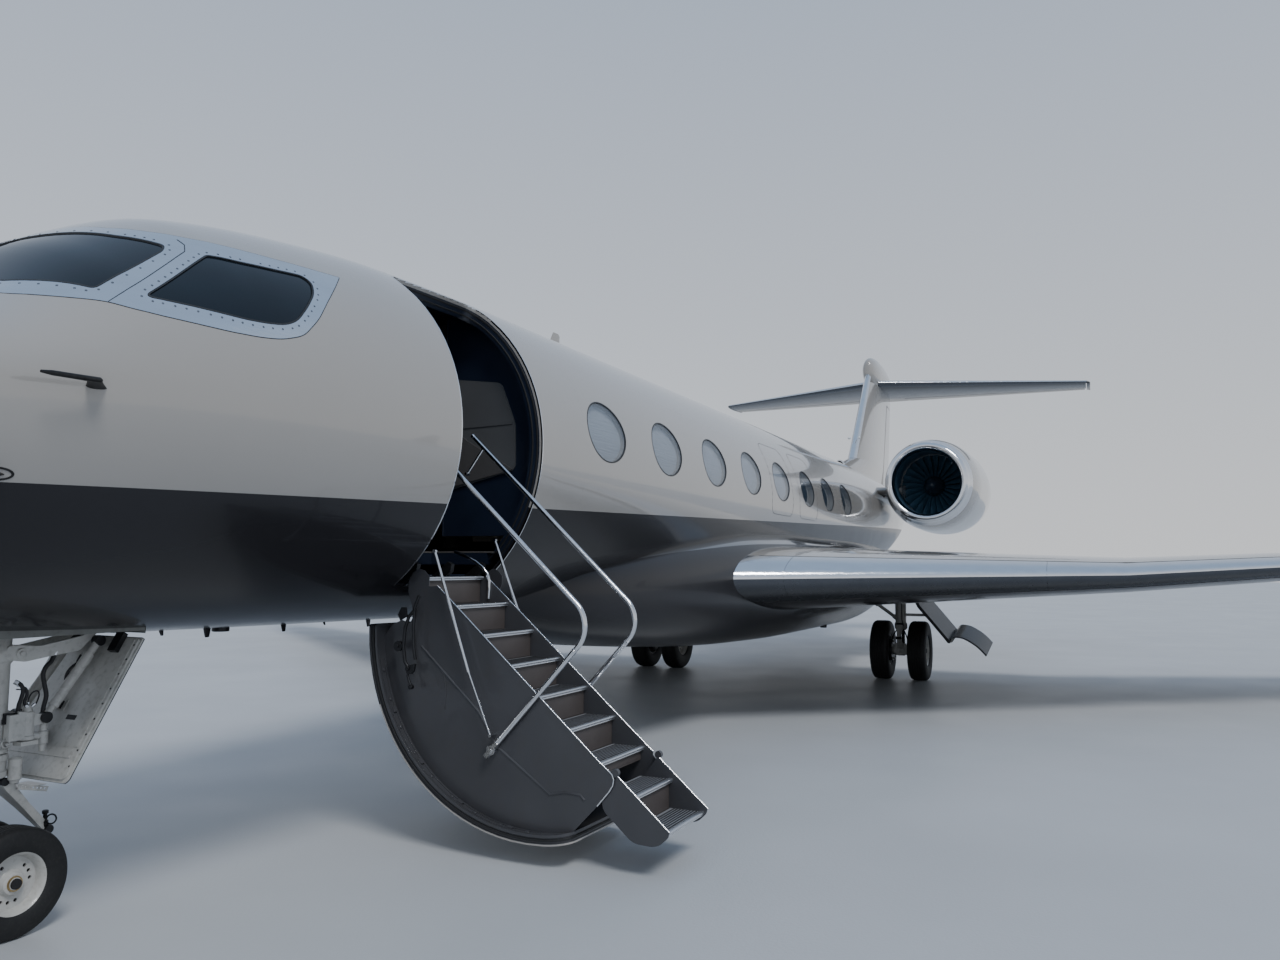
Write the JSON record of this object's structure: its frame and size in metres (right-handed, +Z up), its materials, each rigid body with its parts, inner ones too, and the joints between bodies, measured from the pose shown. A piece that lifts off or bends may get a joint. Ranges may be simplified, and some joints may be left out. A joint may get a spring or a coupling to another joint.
{
  "type": "business jet",
  "caption": "Long-range twin-engine business jet on its landing gear: swept wings with winglets, T-tail, rear nacelles, oval cabin windows and an open airstair door.",
  "frame": {"origin": "on the ground under the middle of the aircraft's overall box", "axes": "+X towards the nose, +Y to port, +Z up"},
  "size_m": [30.41, 30.3402, 7.39],
  "materials": {
    "upper_paint": "gloss",
    "lower_paint": "gloss",
    "polished_metal": "polished",
    "glazing": "gloss",
    "cabin_trim": "satin",
    "carpet": "matte",
    "seat_leather": "satin",
    "step_metal": "satin",
    "chrome": "polished",
    "gear_paint": "satin",
    "engine_metal": "satin",
    "wheel_alloy": "satin",
    "tyre_rubber": "matte"
  },
  "bodies": {
    "airframe": {"radome": "upper_paint", "forward_fuselage": "upper_paint", "entry_fuselage": "upper_paint", "cabin_fuselage": "upper_paint", "aft_fuselage": "upper_paint", "cabin_floor": "carpet", "cabin_window_liner_left": "cabin_trim", "cabin_window_liner_right": "cabin_trim", "cockpit_glazing": "glazing", "cockpit_window_frames": "polished_metal", "cockpit_seats": "seat_leather", "cabin_seats_left": "seat_leather", "cabin_seats_right": "seat_leather", "wing_fairing": "lower_paint", "fin": "upper_paint", "stabilizer": "upper_paint", "wing_left": "upper_paint", "wing_right": "upper_paint", "flap_left": "upper_paint", "flap_right": "upper_paint", "nacelle_left": "upper_paint", "nacelle_right": "upper_paint", "pylon_left": "upper_paint", "pylon_right": "upper_paint", "engine_core_left": "engine_metal", "engine_core_right": "engine_metal", "main_gear_leg_left": "gear_paint", "main_gear_leg_right": "gear_paint", "main_gear_door_left": "gear_paint", "main_gear_door_right": "gear_paint", "nose_gear_leg": "gear_paint", "nose_gear_door": "gear_paint"},
    "rudder": {"rudder": "upper_paint"},
    "elevator_left": {"elevator_left": "upper_paint"},
    "elevator_right": {"elevator_right": "upper_paint"},
    "aileron_left": {"aileron_left": "upper_paint"},
    "aileron_right": {"aileron_right": "upper_paint"},
    "fan_left": {"fan_left": "engine_metal"},
    "fan_right": {"fan_right": "engine_metal"},
    "airstair": {"airstair_door": "lower_paint", "airstair_steps": "step_metal"},
    "lower_steps": {"airstair_lower_steps": "step_metal"},
    "rail_post_forward": {"handrail_post_forward": "chrome"},
    "rail_run_forward": {"handrail_run_forward": "chrome"},
    "rail_post_aft": {"handrail_post_aft": "chrome"},
    "rail_run_aft": {"handrail_run_aft": "chrome"},
    "nose_steering": {"nose_gear_fork": "gear_paint"},
    "nose_wheels": {"nose_tyre_left": "tyre_rubber", "nose_tyre_right": "tyre_rubber", "nose_rim_left": "wheel_alloy", "nose_rim_right": "wheel_alloy"},
    "main_wheels_left": {"main_tyre_left_inner": "tyre_rubber", "main_tyre_left_outer": "tyre_rubber", "main_rim_left_inner": "wheel_alloy", "main_rim_left_outer": "wheel_alloy"},
    "main_wheels_right": {"main_tyre_right_inner": "tyre_rubber", "main_tyre_right_outer": "tyre_rubber", "main_rim_right_inner": "wheel_alloy", "main_rim_right_outer": "wheel_alloy"}
  },
  "joints": [
    {"name": "airstair_hinge", "type": "hinge", "parent": "airframe", "child": "airstair", "pos_m": [9.16, 0.705, 1.69], "axis": [1, 0, 0], "range_deg": [0, 134]},
    {"name": "lower_steps_fold", "type": "hinge", "parent": "airstair", "child": "lower_steps", "pos_m": [9.23, 2.44288, 0.59889], "axis": [1, 0, 0], "range_deg": [0, 180]},
    {"name": "rail_post_forward_fold", "type": "hinge", "parent": "airstair", "child": "rail_post_forward", "pos_m": [9.5923, 1.58, 0.67], "axis": [1, 0, 0], "range_deg": [-62, 0]},
    {"name": "rail_run_forward_fold", "type": "hinge", "parent": "rail_post_forward", "child": "rail_run_forward", "pos_m": [9.5923, 2.19299, 1.34097], "axis": [1, 0, 0], "range_deg": [0, 82]},
    {"name": "rail_post_aft_fold", "type": "hinge", "parent": "airstair", "child": "rail_post_aft", "pos_m": [8.868, 1.58, 0.67], "axis": [1, 0, 0], "range_deg": [-62, 0]},
    {"name": "rail_run_aft_fold", "type": "hinge", "parent": "rail_post_aft", "child": "rail_run_aft", "pos_m": [8.868, 2.19299, 1.34097], "axis": [1, 0, 0], "range_deg": [0, 82]},
    {"name": "nose_steer", "type": "hinge", "parent": "airframe", "child": "nose_steering", "pos_m": [11.775, 0, 0.8], "axis": [0, 0, 1], "range_deg": [-82, 82]},
    {"name": "nose_wheel_spin", "type": "hinge", "parent": "nose_steering", "child": "nose_wheels", "pos_m": [11.735, 0, 0.267], "axis": [0, 1, 0], "continuous": true},
    {"name": "main_wheel_left_spin", "type": "hinge", "parent": "airframe", "child": "main_wheels_left", "pos_m": [-1.745, 2.175, 0.4825], "axis": [0, 1, 0], "continuous": true},
    {"name": "main_wheel_right_spin", "type": "hinge", "parent": "airframe", "child": "main_wheels_right", "pos_m": [-1.745, -2.175, 0.4825], "axis": [0, 1, 0], "continuous": true},
    {"name": "fan_left_spin", "type": "hinge", "parent": "airframe", "child": "fan_left", "pos_m": [-5.6, 2.23, 3.52], "axis": [1, 0, 0], "continuous": true},
    {"name": "fan_right_spin", "type": "hinge", "parent": "airframe", "child": "fan_right", "pos_m": [-5.6, -2.23, 3.52], "axis": [1, 0, 0], "continuous": true},
    {"name": "aileron_left_hinge", "type": "hinge", "parent": "airframe", "child": "aileron_left", "pos_m": [-4.38599, 10.9, 2.0933], "axis": [-0.4477, 0.8925, 0.0542], "range_deg": [-20, 20]},
    {"name": "aileron_right_hinge", "type": "hinge", "parent": "airframe", "child": "aileron_right", "pos_m": [-4.38599, -10.9, 2.0933], "axis": [0.4477, 0.8925, -0.0542], "range_deg": [-20, 20]},
    {"name": "elevator_left_hinge", "type": "hinge", "parent": "airframe", "child": "elevator_left", "pos_m": [-12.92443, 0.48, 6.72198], "axis": [-0.3668, 0.9293, 0.0426], "range_deg": [-20, 25]},
    {"name": "elevator_right_hinge", "type": "hinge", "parent": "airframe", "child": "elevator_right", "pos_m": [-12.92443, -0.48, 6.72198], "axis": [0.3668, 0.9293, -0.0426], "range_deg": [-20, 25]},
    {"name": "rudder_hinge", "type": "hinge", "parent": "airframe", "child": "rudder", "pos_m": [-11.19116, 0, 4.06], "axis": [-0.3792, 0, 0.9253], "range_deg": [-27, 27]}
  ],
  "couplings": [
    {"joint": "lower_steps_fold", "follows": "airstair_hinge", "ratio": 1.3432},
    {"joint": "rail_post_forward_fold", "follows": "airstair_hinge", "ratio": -0.4626},
    {"joint": "rail_run_forward_fold", "follows": "airstair_hinge", "ratio": 0.6119},
    {"joint": "rail_post_aft_fold", "follows": "airstair_hinge", "ratio": -0.4626},
    {"joint": "rail_run_aft_fold", "follows": "airstair_hinge", "ratio": 0.6119},
    {"joint": "aileron_right_hinge", "follows": "aileron_left_hinge", "ratio": -1},
    {"joint": "elevator_right_hinge", "follows": "elevator_left_hinge", "ratio": 1}
  ]
}
